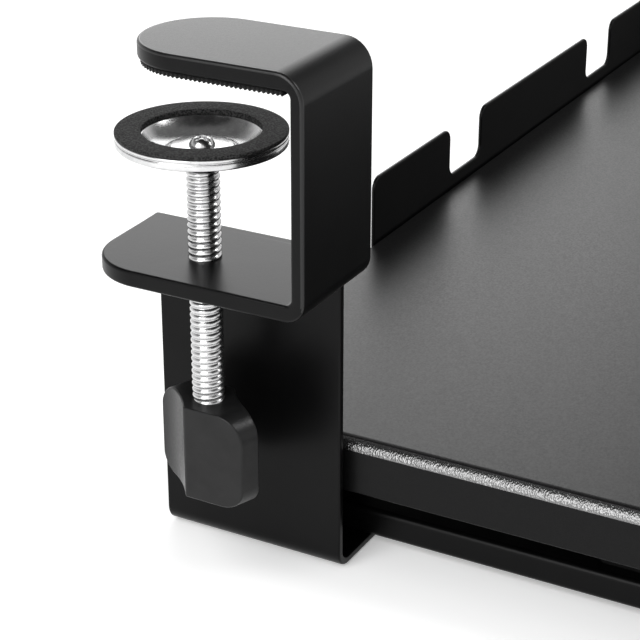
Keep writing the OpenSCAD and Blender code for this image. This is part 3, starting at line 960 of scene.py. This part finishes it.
@dataclass
class SwivelPad(SidePart):
    """The dished cup on top of one screw, with its foam ring, washer and retaining screw."""

    cup_t: float = 1.4
    lip: float = 3.3
    rim_groove: float = 0.35
    rim_levels: tuple[float, ...] = (1.6, 1.35, 1.1, 0.85)
    press_r: float = 0.9
    hub_lift: float = 0.9
    foam_lift: float = 0.55
    foam_t: float = 0.9
    foam_wall: float = 1.6
    foam_band: float = 7.5
    step_in: float = 1.0
    step_out: float = 1.8
    floor_r: float = 10.5
    bowl_from: float = 14.0
    bowl_to: float = 50.0
    under_back: float = 6.0
    boss_r: float = 9.5
    boss_set: float = 3.4
    bore_r: float = 4.05
    foam_edge_r: float = 0.35
    washer_edge_r: float = 0.25
    shank_r: float = 2.0
    crown_fall: float = 0.75
    crown_dome: float = 0.12
    recess_half: float = 0.62
    recess_reach: float = 2.45
    recess_depth: float = 1.5
    recess_turn: float = -16.0
    recess_wall: float = 0.25
    recess_end: float = 0.4
    head_mid: float = 0.3
    head_rings: int = 28
    bowl_steps: int = 12
    press_steps: int = 5
    turn_steps: int = 128

    def build(self) -> None:
        """Builds the cup and all that it carries."""
        self.build_cup()
        self.build_foam()
        self.build_washer()
        self.build_retaining_screw()

    @property
    def foam_top(self) -> float:
        """Z of the foam ring's face."""
        return self.box("foam_ring")[1].z + self.foam_lift

    @property
    def hole_r(self) -> float:
        """Radius of the hole in the foam ring, which is the top of the cup's dish."""
        low, high = self.box("foam_ring")
        return (high.x - low.x) / 2 - self.foam_band

    def build_cup(self) -> None:
        """Builds the pressed dish with its rolled rim and central boss."""
        low, high = self.box("swivel_cup")
        seat_r = self.hole_r
        r = (high.x - low.x) / 2
        hub, seat, boss = low.z + self.hub_lift, self.foam_top - self.foam_t, high.z - self.boss_set
        step_z = self.foam_top - self.foam_wall
        start, end = math.radians(self.bowl_from), math.radians(self.bowl_to)
        bowl_r = (seat_r - self.floor_r) / (math.sin(end) - math.sin(start))
        mid = (seat_r - bowl_r * math.sin(end), step_z + bowl_r * math.cos(end))
        floor_z = mid[1] - bowl_r * math.cos(start)
        inside = arc(mid, bowl_r, self.bowl_to - 90, self.bowl_from - 90, self.bowl_steps)
        under_to = self.bowl_to - 90 - self.under_back
        under = arc(mid, bowl_r + self.cup_t, self.bowl_from - 90, under_to, self.bowl_steps)
        groove = zip((r, r - self.rim_groove, r - self.rim_groove, r), self.rim_levels)
        profile = [
            (self.bore_r, hub), *under, (r - self.cup_t, seat - self.cup_t),
            (r - self.cup_t, seat - self.lip), (r, seat - self.lip),
            *((out, seat - drop) for out, drop in groove),
            (r, seat), (seat_r + self.step_out, seat), (seat_r + self.step_in, step_z), *inside,
            (self.boss_r, floor_z), (self.boss_r, boss), (self.bore_r, boss),
        ]
        bm = lathe(soften(profile, self.press_r, self.press_steps), self.axis, self.turn_steps)
        self.add("pressed_cup", bm, ZINC_PLATE, self.side.node("pad"), "swivel_cup")

    def build_foam(self) -> None:
        """Builds the foam ring on the cup's rim."""
        low, high = self.box("foam_ring")
        r = (high.x - low.x) / 2
        hole_r, top = self.hole_r, self.foam_top
        wall, thin = top - self.foam_wall, top - self.foam_t
        profile = [
            (hole_r, wall), (hole_r + self.step_in, wall), (hole_r + self.step_out, thin),
            (r, thin), (r, top), (hole_r, top),
        ]
        bm = lathe(soften(profile, self.foam_edge_r), self.axis, self.turn_steps)
        ring = self.add("soft_ring", bm, FOAM, self.side.node("pad"), "foam_ring")

    def build_washer(self) -> None:
        """Builds the retaining washer, its edges broken."""
        low, high = self.box("cup_washer")
        r = (high.x - low.x) / 2
        profile = [(self.shank_r, low.z), (r, low.z), (r, high.z), (self.shank_r, high.z)]
        bm = lathe(soften(profile, self.washer_edge_r), self.axis)
        self.add("plain_washer", bm, ZINC_PLATE, self.side.node("screw"), "cup_washer")

    def build_retaining_screw(self) -> None:
        """Builds the pan-head screw with its cross recess."""
        low, high = self.box("cup_screw")
        head_r = (high.x - low.x) / 2
        foot = self.box("cup_washer")[1].z
        crown = high.z - foot
        turn = Matrix.Rotation(math.radians(-self.recess_turn), 2)

        def face(x: float, y: float) -> float:
            """Gives the height of the head's face over a point of its plan."""
            reach = math.hypot(x, y)
            share = reach / head_r
            dome = high.z - self.crown_fall * crown * share ** 4 - self.crown_dome * crown * share ** 2
            across = min(abs(length) for length in turn @ Vector((x, y)))
            wall = min(max((self.recess_half - across) / self.recess_wall, 0.0), 1.0)
            end = min(max((self.recess_reach - reach) / self.recess_end, 0.0), 1.0)
            return dome - self.recess_depth * wall * end

        radii = [head_r * (i + self.head_mid) / self.head_rings for i in range(self.head_rings)] + [head_r]
        bm = polar_cap(face, radii, foot, self.axis)
        self.add("pan_head_screw", bm, ZINC_PLATE, self.side.node("screw"), "cup_screw")


@dataclass
class ClampScrew(SidePart):
    """The rolled clamp screw with its thread and journal."""

    pitch: float = 2.0
    thread_depth: float = 0.6
    crest_power: float = 0.6
    journal_r: float = 4.0
    shoulder_lift: float = 0.75
    steps_round: int = 48
    steps_per_turn: int = 12

    def build(self) -> None:
        """Builds the threaded rod from inside the knob up to the cup."""
        low, high = self.box("clamp_screw")
        r = (high.x - low.x) / 2
        shoulder = self.box("swivel_cup")[0].z + self.shoulder_lift
        count = int((shoulder - low.z) / self.pitch * self.steps_per_turn)
        rings: list[Ring] = []
        for k in range(count + 1):
            z = low.z + (shoulder - low.z) * k / count
            ring = []
            for i in range(self.steps_round):
                angle = math.tau * i / self.steps_round
                phase = z / self.pitch - i / self.steps_round
                ring.append(self.turned(r - self.groove(phase), angle, z))
            rings.append(ring)
        neck = ((r - self.thread_depth, shoulder), (self.journal_r, shoulder), (self.journal_r, high.z))
        for radius, z in neck:
            rings.append([
                self.turned(radius, math.tau * i / self.steps_round, z) for i in range(self.steps_round)
            ])
        self.add("threaded_rod", loft(rings), ZINC_PLATE, self.side.node("screw"), "clamp_screw")

    def groove(self, phase: float) -> float:
        """Gives the depth of the thread's groove at a phase of its turn."""
        wave = 0.5 + 0.5 * math.cos(math.tau * phase)
        return self.thread_depth * (1 - wave ** self.crest_power)

    def turned(self, radius: float, angle: float, z: float) -> Vector:
        """Places a point round the screw's axis."""
        return Vector((self.axis[0] + radius * math.cos(angle), self.axis[1] + radius * math.sin(angle), z))


@dataclass
class WingKnob(SidePart):
    """The moulded knob: two tapered wings, each hollowed on its leading side."""

    tip_r: float = 19.4
    width: float = 19.6
    wing_t: float = 6.4
    wing_set: float = 0.4
    crease_y: float = 0.4
    crease_clear: float = 0.3
    hollow_depth: float = 1.6
    hollow_land: float = 0.6
    top_r: float = 8.5
    foot_r: float = 7.0
    foot_past: float = 0.7
    turn: float = -21.0
    edge_r: float = 0.5
    end_steps: int = 14
    side_steps: int = 14

    @property
    def end_y(self) -> float:
        """Distance of each wing's end from the axis."""
        return math.sqrt(self.tip_r ** 2 - (self.wing_set + self.wing_t / 2) ** 2)

    def flank(self, y: float) -> float:
        """Gives the knob's hollow side at a station along the wings.

        Args:
            y: Distance along the wings.

        Returns:
            X of the side with the far wing's hollow.
        """
        crease = Vector((-self.width / 2, -self.crease_y))
        tip = Vector((-self.wing_set - self.wing_t / 2, self.end_y))
        foot = Vector((self.wing_set - self.wing_t / 2, -self.end_y))
        if y <= crease.y:
            share = (y - foot.y) / (crease.y - foot.y)
            return foot.x + (crease.x - foot.x) * share
        line = tip - crease
        share = (y - crease.y) / line.y
        land = self.hollow_land / line.length
        inside = min(max((share - land) / (1 - 2 * land), 0.0), 1.0)
        return crease.x + line.x * share + 4 * self.hollow_depth * inside * (1 - inside) * line.length / line.y

    def stations(self) -> list[float]:
        """Lists the stations along the wings, closest where the corners turn."""
        angles = [math.pi / 2 * i / self.end_steps for i in range(self.end_steps + 1)]
        outer = [self.end_y - self.top_r * (1 - math.sin(a)) for a in angles]
        limit = outer[0]
        inner = [-limit + 2 * limit * i / self.side_steps for i in range(1, self.side_steps)]
        inner = [y for y in inner if abs(abs(y) - self.crease_y) > self.crease_clear]
        return sorted([-y for y in outer] + inner + [-self.crease_y, self.crease_y] + outer)

    def rounding(self, y: float, radius: float) -> float:
        """Gives how far a corner's rounding takes the edge back at a station."""
        past = min(max(abs(y) - (self.end_y - radius), 0.0), radius)
        return radius - math.sqrt(radius ** 2 - past ** 2)

    def build(self) -> None:
        """Builds the knob."""
        low, high = self.box("wing_knob")
        low = low - Vector((0, 0, self.foot_past))
        turn = Matrix.Rotation(math.radians(self.turn), 3, "Z")
        place = Vector((*self.axis, 0))
        rings: list[Ring] = []
        for y in self.stations():
            left, right = self.flank(y), -self.flank(-y)
            top = high.z - self.rounding(y, self.top_r)
            foot = low.z + self.rounding(y, self.foot_r)
            corners = ((left, top), (right, top), (right, foot), (left, foot))
            rings.append([turn @ Vector((x, y, z)) + place for x, z in corners])
        bm = loft(rings)
        round_edges(bm, self.edge_r)
        self.add("moulded_knob", bm, KNOB_PLASTIC, self.side.node("screw"), "wing_knob", Surface.SHEET)


@dataclass
class DropBracket(SidePart):
    """The bent plate that hangs from one clamp and carries the slide."""

    jaw_half: float = 20.0
    plate_t: float = 2.5
    bend_r: float = 6.0
    corner_r: float = 5.0
    edge_r: float = 0.6
    ear: float = 1.5
    ear_h: float = 5.0
    bend_steps: int = 8

    def build(self) -> None:
        """Builds the plate, its bend and its flange."""
        low, high = self.box("drop_bracket")
        near = self.jaw_half
        far = near + high.x - low.x
        t, r = self.plate_t, self.bend_r
        outer = [(near, high.z - self.ear_h)] + arc((near + r, low.z + r), r, 180, 270, self.bend_steps)
        inner = [(near + t, high.z - self.ear_h)] + arc((near + r, low.z + r), r - t, 180, 270, self.bend_steps)
        rings: list[Ring] = []

        def section(
            out_point: Pair, in_point: Pair, cut: float, ear: float = 0.0
        ) -> None:
            """Adds one section across the plate, its ends cut back and its rear end let out."""
            front, rear = low.y + cut, high.y - cut + ear
            rings.append([
                self.at(out_point[0], front, out_point[1]), self.at(out_point[0], rear, out_point[1]),
                self.at(in_point[0], rear, in_point[1]), self.at(in_point[0], front, in_point[1]),
            ])

        section((near, high.z), (near + t, high.z), 0.0, self.ear)
        for out_point, in_point in zip(outer, inner):
            section(out_point, in_point, 0.0)
        for x, y in arc((far - self.corner_r, 0), self.corner_r, 90, 0, self.bend_steps):
            section((x, low.z), (x, low.z + t), self.corner_r - y)
        bm = loft(rings)

        def at_jaw(edge: bmesh.types.BMEdge) -> bool:
            """Tells whether an edge lies against the clamp's lower jaw."""
            return all(v.co.z > high.z - LEVEL for v in edge.verts)

        round_edges(bm, self.edge_r, at_jaw)
        self.add("bent_bracket", bm, POWDER_COAT, "clamps", "drop_bracket", Surface.SHEET)


@dataclass
class TrayBoard:
    """The foil-wrapped board with its rounded upper edges."""

    edge_r: float = 4.5
    foot_r: float = 0.6
    corner_r: float = 8.0
    rear_share: float = 0.2
    rear_from: float = 0.2
    foot_steps: int = 3
    edge_steps: int = 15
    corner_steps: int = 10
    # Slopes that bound the grain with painted glints and the foil with painted shade
    grain_from: float = math.cos(math.radians(75))
    grain_to: float = math.cos(math.radians(23))
    face_from: float = math.cos(math.radians(3))

    def build(self) -> None:
        """Builds the board as a stack of outlines."""
        low, high = node_box("tray_board")
        levels: Profile = [
            (self.foot_r - x, low.z + self.foot_r + y)
            for x, y in arc((0, 0), self.foot_r, -90, 0, self.foot_steps)
        ]
        levels += [
            (self.edge_r - x, high.z - self.edge_r + y)
            for x, y in arc((0, 0), self.edge_r, 0, 90, self.edge_steps)
        ]
        rings: list[Ring] = []
        for inset, z in levels:
            near, far = Vector((inset, inset, 0)), Vector((inset, inset * self.rear_share, 0))
            outline = rounded_rectangle(low + near, high - far, self.corner_r - inset, self.corner_steps)
            rings.append([Vector((x, y, z)) for x, y in outline])
        bm = loft(rings)
        # By slope: the middle of the front and end rounding takes the grain with painted glints; the other
        # sloped and upright faces take the foil with painted shade; the flat top and bottom keep the plain foil
        for face in bm.faces:
            if self.grain_from < face.normal.z < self.grain_to and face.normal.y < self.rear_from:
                face.material_index = 1
            elif abs(face.normal.z) < self.face_from:
                face.material_index = 2
        board = add_piece("foil_board", bm, BOARD_FOIL, "tray", ["tray_board"], Surface.SHEET)
        board.data.materials.append(GRAIN_WITH_PAINTED_GLINT.material())
        board.data.materials.append(PAINTED_SHADE_FOIL.material())


@dataclass
class RearFence:
    """The folded sheet behind the board, with its cable notches."""

    sheet_t: float = 1.5
    bend_r: float = 1.75
    notch_w: float = 30.0
    notch_shift: float = 2.4
    mid_tab: float = 119.0
    notch_floor: float = 5.5
    tab_corner_r: float = 5.0
    notch_corner_r: float = 4.5
    edge_r: float = 0.55
    edge_angle: float = 50.0
    edge_steps: int = 2
    end_trim: float = 1.8
    corner_steps: int = 8

    def outline(self, low: Vector, high: Vector, board_top: float) -> Profile:
        """Draws the upright from its lower left corner, over the tabs, to its lower right corner.

        Args:
            low: Lowest corner of the fence.
            high: Its highest corner.
            board_top: Z of the board's upper face.

        Returns:
            The points of the upper edge, as (x, z).
        """
        top, floor = high.z, board_top + self.notch_floor
        r, q, n = self.tab_corner_r, self.notch_corner_r, self.corner_steps
        first = self.notch_shift - self.mid_tab / 2 - self.notch_w
        second = self.notch_shift + self.mid_tab / 2
        points = arc((low.x + r, top - r), r, 180, 90, n)
        for start in (first, second):
            end = start + self.notch_w
            points += arc((start - r, top - r), r, 90, 0, n)
            points += arc((start + q, floor + q), q, 180, 270, n)
            points += arc((end - q, floor + q), q, 270, 360, n)
            points += arc((end + r, top - r), r, 180, 90, n)
        return points + arc((high.x - r, top - r), r, 90, 0, n)

    def build(self) -> None:
        """Builds the sheet, thickened and with its edges broken."""
        low, high = node_box("rear_fence")
        trim = Vector((self.end_trim, 0, 0))
        low, high = low + trim, high - trim
        board_top = node_box("tray_board")[1].z
        half_t = self.sheet_t / 2
        wall_y, foot_z = high.y - half_t, low.z + half_t
        fold = arc((wall_y - self.bend_r, foot_z + self.bend_r), self.bend_r, 0, -90, self.corner_steps)
        fold.append((low.y, foot_z))
        bm = bmesh.new()
        upper = [bm.verts.new((x, wall_y, z)) for x, z in self.outline(low, high, board_top)]
        rows = [(bm.verts.new((low.x, y, z)), bm.verts.new((high.x, y, z))) for y, z in fold]
        bm.faces.new([rows[0][0], *upper, rows[0][1]])
        for (a, b), (c, d) in zip(rows, rows[1:]):
            bm.faces.new((b, a, c, d))
        bmesh.ops.recalc_face_normals(bm, faces=bm.faces)
        fence = add_piece("folded_fence", bm, POWDER_COAT, "tray", ["rear_fence"])
        sheet = fence.modifiers.new("sheet", "SOLIDIFY")
        sheet.thickness = self.sheet_t * MM
        sheet.offset = 0
        sheet.use_even_offset = True
        broken = fence.modifiers.new("broken_edges", "BEVEL")
        broken.width = self.edge_r * MM
        broken.segments = self.edge_steps
        broken.limit_method = "ANGLE"
        broken.angle_limit = math.radians(self.edge_angle)
        weighted = fence.modifiers.new("weighted_normals", "WEIGHTED_NORMAL")
        weighted.weight = FACE_WEIGHT


@dataclass
class RollerSlide:
    """The pieces that keep the frame's shapes: the rails and rollers, the weld nuts and the fence's screws."""

    frame: dict

    def build(self) -> None:
        """Puts a finish on each of these nodes."""
        finishes = {
            "weld_nut": POWDER_COAT, "carriage": ZINC_PLATE, "carriage_screws": ZINC_PLATE,
            "front_axle": ZINC_PLATE, "rear_axle": ZINC_PLATE, "front_rollers": NYLON, "rear_rollers": NYLON,
            "rail": POWDER_COAT, "rail_stops": CAP_PLASTIC, "rail_spacers": CAP_PLASTIC,
            "rail_screws": ZINC_PLATE,
        }
        for side in Side:
            for kind, finish in finishes.items():
                dress_node(self.frame, side.node(kind), finish)
        dress_node(self.frame, "fence_screws", ZINC_PLATE)


# Studio


@dataclass(frozen=True)
class Lamp:
    """One soft lamp: its place, its length and breadth, its power and the way that its length runs."""

    name: str
    place: Triple
    size: Pair
    power: float
    along: Triple

    def build(self, aim: Vector) -> None:
        """Builds the lamp, turned to the place that it lights.

        Args:
            aim: The lit place.
        """
        data = bpy.data.lights.new(self.name, "AREA")
        data.shape = "ELLIPSE"
        data.size, data.size_y = (length * MM for length in self.size)
        data.energy = self.power
        back = (Vector(self.place) - aim).normalized()
        across = back.cross(Vector(self.along)).normalized()
        turn = Matrix((across.cross(back), across, back)).transposed()
        lamp = link_object(self.name, data)
        lamp.matrix_world = Matrix.Translation(Vector(self.place) * MM) @ turn.to_4x4()
        lamp.visible_camera = False


@dataclass
class Studio:
    """The pale floor, the surround, the soft lamps and the camera."""

    camera_at: Triple = (-753.83, -233.64, 152.85)
    right: Triple = (0.4805, -0.8770, 0.0)
    up: Triple = (0.3644, 0.1996, 0.9096)
    ahead: Triple = (0.7977, 0.4371, -0.4155)
    lens: float = 107.72
    sensor: float = 36.0
    clip: Pair = (0.01, 50.0)
    floor_drop: float = 0.3
    floor_size: float = 12000.0
    floor_colour: Colour = (0.93, 0.93, 0.93)
    floor_rough: float = 0.9
    floor_sheen: float = 0.1
    floor_lift: float = 0.26
    floor_far_lift: float = 0.6
    floor_near: float = 650.0
    floor_far: float = 1600.0
    sky_glow: float = 0.52
    sky_dark: float = 0.15
    sky_rise: Pair = (0.25, 0.6)
    lamps: list[Lamp] = field(default_factory=lambda: [
        Lamp("back_lamp", (960.0, 740.0, 560.0), (1100.0, 1000.0), 6.6, (0.7, -0.7, 0.0)),
        Lamp("key_lamp", (-1101.0, 158.0, 517.0), (1100.0, 620.0), 7.4, (0.606, 0.0, 0.758)),
        Lamp("front_lamp", (200.0, -750.0, 780.0), (500.0, 500.0), 4.5, (1.0, 0.0, 0.0)),
        Lamp("left_lamp", (-1300.0, -500.0, 600.0), (900.0, 900.0), 2.0, (0.5, -0.8, 0.0)),
    ])

    def build(self) -> None:
        """Builds the whole studio."""
        self.build_floor()
        self.build_sky()
        self.build_lamps()
        self.build_camera()

    def camera_light(self, tree: bpy.types.NodeTree) -> bpy.types.NodeSocket:
        """Tells rays that show the background from rays that light the object.

        Args:
            tree: The tree to build in.

        Returns:
            1 for a ray that shows the background.
        """
        path = tree.nodes.new("ShaderNodeLightPath")
        found = path.outputs["Is Camera Ray"]
        for name in ("Is Glossy Ray", "Is Transmission Ray"):
            larger = tree.nodes.new("ShaderNodeMath")
            larger.operation = "MAXIMUM"
            tree.links.new(found, larger.inputs[0])
            tree.links.new(path.outputs[name], larger.inputs[1])
            found = larger.outputs[0]
        return found

    def build_floor(self) -> None:
        """Builds the floor just under the brackets."""
        low, _ = node_box(Side.LEFT.node("drop_bracket"))
        half = self.floor_size / 2
        bm = bmesh.new()
        corners = ((-half, -half), (half, -half), (half, half), (-half, half))
        bm.faces.new([bm.verts.new((x * MM, y * MM, (low.z - self.floor_drop) * MM)) for x, y in corners])
        mesh = bpy.data.meshes.new("floor")
        bm.to_mesh(mesh)
        bm.free()
        floor = link_object("floor", mesh)
        material = bpy.data.materials.new("floor_paper")
        material.use_nodes = True
        tree = material.node_tree
        base = tree.nodes["Principled BSDF"]
        base.inputs["Base Color"].default_value = (*self.floor_colour, 1)
        base.inputs["Roughness"].default_value = self.floor_rough
        base.inputs["Specular IOR Level"].default_value = self.floor_sheen
        base.inputs["Emission Color"].default_value = (1, 1, 1, 1)
        away = tree.nodes.new("ShaderNodeVectorMath")
        away.operation = "LENGTH"
        tree.links.new(tree.nodes.new("ShaderNodeTexCoord").outputs["Object"], away.inputs[0])
        fade = tree.nodes.new("ShaderNodeMapRange")
        set_range(fade, self.floor_near * MM, self.floor_far * MM, self.floor_lift, self.floor_far_lift)
        tree.links.new(away.outputs["Value"], fade.inputs["Value"])
        lift = tree.nodes.new("ShaderNodeMath")
        lift.operation = "MULTIPLY"
        tree.links.new(fade.outputs["Result"], lift.inputs[1])
        tree.links.new(self.camera_light(tree), lift.inputs[0])
        tree.links.new(lift.outputs[0], base.inputs["Emission Strength"])
        floor.data.materials.append(material)

    def build_sky(self) -> None:
        """Builds the surround: white, and darker overhead where it is seen or mirrored."""
        world = bpy.data.worlds.new("white_surround")
        bpy.context.scene.world = world
        world.use_nodes = True
        tree = world.node_tree
        glow = tree.nodes["Background"]
        parts = tree.nodes.new("ShaderNodeSeparateXYZ")
        tree.links.new(tree.nodes.new("ShaderNodeTexCoord").outputs["Generated"], parts.inputs["Vector"])
        rise = tree.nodes.new("ShaderNodeValToRGB")
        set_ramp(rise, self.sky_rise, [(level, level, level) for level in (1, self.sky_dark)])
        tree.links.new(parts.outputs["Z"], rise.inputs["Fac"])
        strength = tree.nodes.new("ShaderNodeMapRange")
        set_range(strength, 0, 1, self.sky_glow, 1)
        shown = self.camera_light(tree)
        tree.links.new(shown, strength.inputs["Value"])
        tree.links.new(strength.outputs["Result"], glow.inputs["Strength"])
        tint = tree.nodes.new("ShaderNodeMix")
        tint.data_type = "RGBA"
        white, seen = tint.inputs[6], tint.inputs[7]
        white.default_value = (1, 1, 1, 1)
        tree.links.new(shown, tint.inputs[0])
        tree.links.new(rise.outputs["Color"], seen)
        tree.links.new(tint.outputs[2], glow.inputs["Color"])

    def build_lamps(self) -> None:
        """Builds the soft lamps, aimed at the clamp."""
        aim = Vector(node_box(Side.LEFT.node("clamp_frame"))[0])
        for lamp in self.lamps:
            lamp.build(aim)

    def build_camera(self) -> None:
        """Builds the camera at the photographed angle."""
        data = bpy.data.cameras.new("camera")
        data.lens = self.lens
        data.sensor_width = self.sensor
        data.clip_start, data.clip_end = self.clip
        camera = link_object("camera", data)
        back = -Vector(self.ahead)
        turn = Matrix((self.right, self.up, back)).transposed()
        camera.matrix_world = Matrix.Translation(Vector(self.camera_at) * MM) @ turn.to_4x4()
        bpy.context.scene.camera = camera


def main() -> None:
    """Builds every sub-assembly in order, then the studio."""
    logging.basicConfig(level=logging.INFO, format="%(name)s: %(message)s")
    bpy.context.scene.view_settings.view_transform = "Standard"
    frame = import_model()
    for side in Side:
        for part in (ClampFrame, SwivelPad, ClampScrew, WingKnob, DropBracket):
            part(side).build()
    TrayBoard().build()
    RearFence().build()
    RollerSlide(frame).build()
    Studio().build()


if __name__ == "__main__":
    main()
